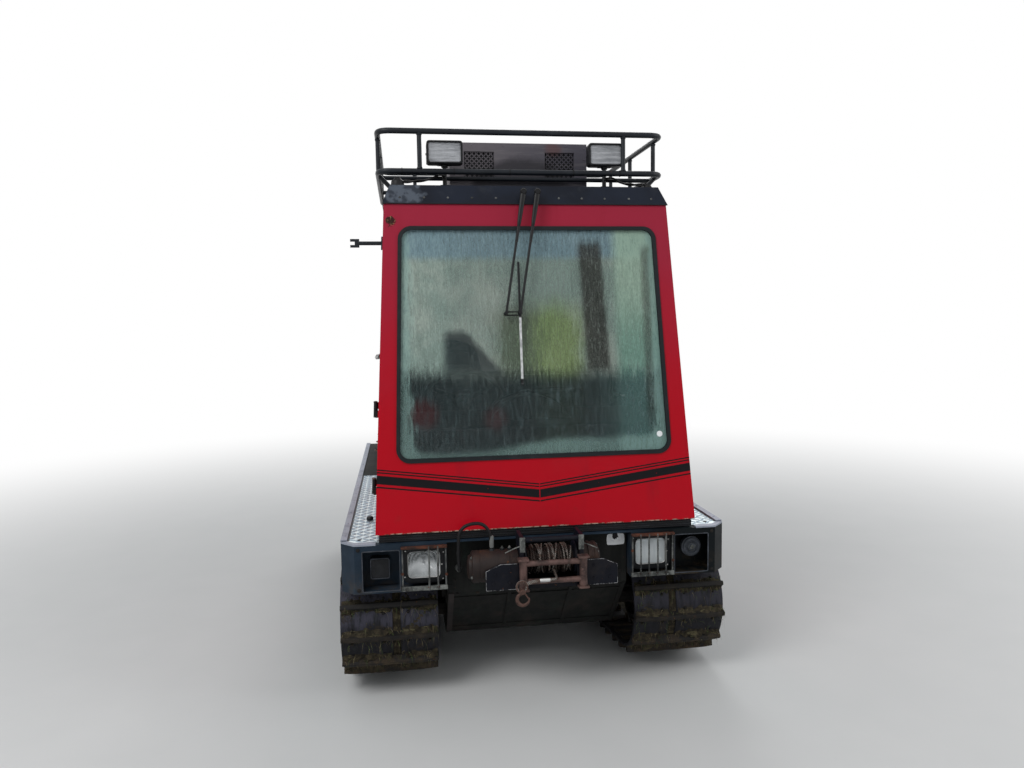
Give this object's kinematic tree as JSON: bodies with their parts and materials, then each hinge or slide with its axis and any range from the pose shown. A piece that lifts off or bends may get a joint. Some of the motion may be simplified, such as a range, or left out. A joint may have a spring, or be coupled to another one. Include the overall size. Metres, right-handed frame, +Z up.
{
  "type": "tracked snow vehicle",
  "caption": "Small tracked snow vehicle with tall enclosed cab, roof rack, work lamps, front winch, side decks and an open load bed.",
  "frame": {"origin": "on the ground under the middle of the overall length and width", "axes": "+Z up, nose towards -Y, the vehicle's left side towards +X"},
  "size_m": [1.64, 2.8599, 2.3865],
  "materials": {
    "track": "muddy rubber and steel",
    "dark_steel": "weathered",
    "wheel_rubber": "weathered",
    "hull": "rusty, muddy paint",
    "engine": "weathered",
    "checker_plate": "worn raised tread pattern",
    "black_paint": "weathered",
    "edge_rail": "weathered",
    "lamp_bowl": "weathered",
    "lamp_housing": "weathered",
    "lens": "weathered",
    "rusty_steel": "surface rust",
    "red_paint": "faded gloss, chipped along its edges",
    "seal_rubber": "weathered",
    "window_glass": "misted and dirty",
    "roof_paint": "weathered satin",
    "weathered_sheet": "weathered",
    "rack_paint": "weathered",
    "wiper": "weathered",
    "wiper_blade": "weathered",
    "winch_steel": "weathered",
    "wire_rope": "weathered",
    "winch_motor": "weathered",
    "hook": "weathered",
    "cable": "weathered",
    "seat_cover": "weathered",
    "dash": "weathered",
    "wheel_ring": "weathered",
    "bed_paint": "weathered",
    "tail_lens": "weathered"
  },
  "bodies": {
    "chassis": {"track_left": "track", "track_right": "track", "wheel_rims": "dark_steel", "wheel_tyres": "wheel_rubber", "wheel_arms": "dark_steel", "drive_sprockets": "dark_steel", "hull_tub": "hull", "engine_block": "engine", "side_decks": "checker_plate", "rear_fenders": "black_paint", "deck_rails": "edge_rail", "front_bumper": "black_paint", "headlamps": "lamp_bowl", "work_lamps": "lamp_housing", "lamp_lenses": "lens", "headlamp_guards": "rusty_steel", "horn": "black_paint", "cab_front": "red_paint", "cab_rear": "red_paint", "cab_sides": "red_paint", "cab_base": "black_paint", "window_gaskets": "seal_rubber", "window_glass": "window_glass", "roof": "roof_paint", "roof_box": "weathered_sheet", "roof_rack": "rack_paint", "winch_frame": "winch_steel", "winch_motor": "winch_motor", "fairlead": "rusty_steel", "winch_hook": "hook", "winch_cable": "cable", "mirror_bracket": "black_paint", "driver_seat": "seat_cover", "passenger_seat": "seat_cover", "dashboard": "dash", "load_bed": "bed_paint", "tail_lamps": "tail_lens"},
    "door_left": {"door_left": "red_paint", "door_gasket_left": "seal_rubber", "door_glass_left": "window_glass"},
    "door_right": {"door_right": "red_paint", "door_gasket_right": "seal_rubber", "door_glass_right": "window_glass"},
    "tailgate": {"tailgate": "bed_paint"},
    "winch_drum": {"winch_drum": "wire_rope"},
    "wiper_drive": {"wiper_arm_drive": "wiper"},
    "wiper_follower": {"wiper_arm_follower": "wiper"},
    "wiper_blade": {"wiper_blade": "wiper_blade"},
    "steering_wheel": {"steering_wheel": "wheel_ring"}
  },
  "joints": [
    {"name": "door_left_hinge", "type": "hinge", "parent": "chassis", "child": "door_left", "pos_m": [0.66339, -1.071, 1.02], "axis": [0.0496, 0, -0.9988], "range_deg": [0, 70]},
    {"name": "door_right_hinge", "type": "hinge", "parent": "chassis", "child": "door_right", "pos_m": [-0.66339, -1.071, 1.02], "axis": [0.0496, 0, 0.9988], "range_deg": [0, 70]},
    {"name": "tailgate_hinge", "type": "hinge", "parent": "chassis", "child": "tailgate", "pos_m": [0, 1.31, 0.706], "axis": [-1, 0, 0], "range_deg": [0, 90]},
    {"name": "winch_drum_turn", "type": "hinge", "parent": "chassis", "child": "winch_drum", "pos_m": [0.025, -1.286, 0.612], "axis": [1, 0, 0], "continuous": true},
    {"name": "wiper_drive_turn", "type": "hinge", "parent": "chassis", "child": "wiper_drive", "pos_m": [0.034, -1.07579, 2.10162], "axis": [0, -0.9907, 0.1358], "range_deg": [-30, 50]},
    {"name": "wiper_follower_turn", "type": "hinge", "parent": "chassis", "child": "wiper_follower", "pos_m": [-0.025, -1.07579, 2.10162], "axis": [0, -0.9907, 0.1358], "range_deg": [-30, 50]},
    {"name": "wiper_blade_turn", "type": "hinge", "parent": "wiper_drive", "child": "wiper_blade", "pos_m": [-0.054, -1.14428, 1.60191], "axis": [0, -0.9907, 0.1358], "range_deg": [-50, 30]},
    {"name": "steering_wheel_turn", "type": "hinge", "parent": "chassis", "child": "steering_wheel", "pos_m": [-0.27, -0.79, 1.19], "axis": [0, 0.8192, 0.5735], "range_deg": [-270, 270]}
  ],
  "couplings": [
    {"joint": "wiper_follower_turn", "follows": "wiper_drive_turn", "ratio": 1},
    {"joint": "wiper_blade_turn", "follows": "wiper_drive_turn", "ratio": -1}
  ]
}
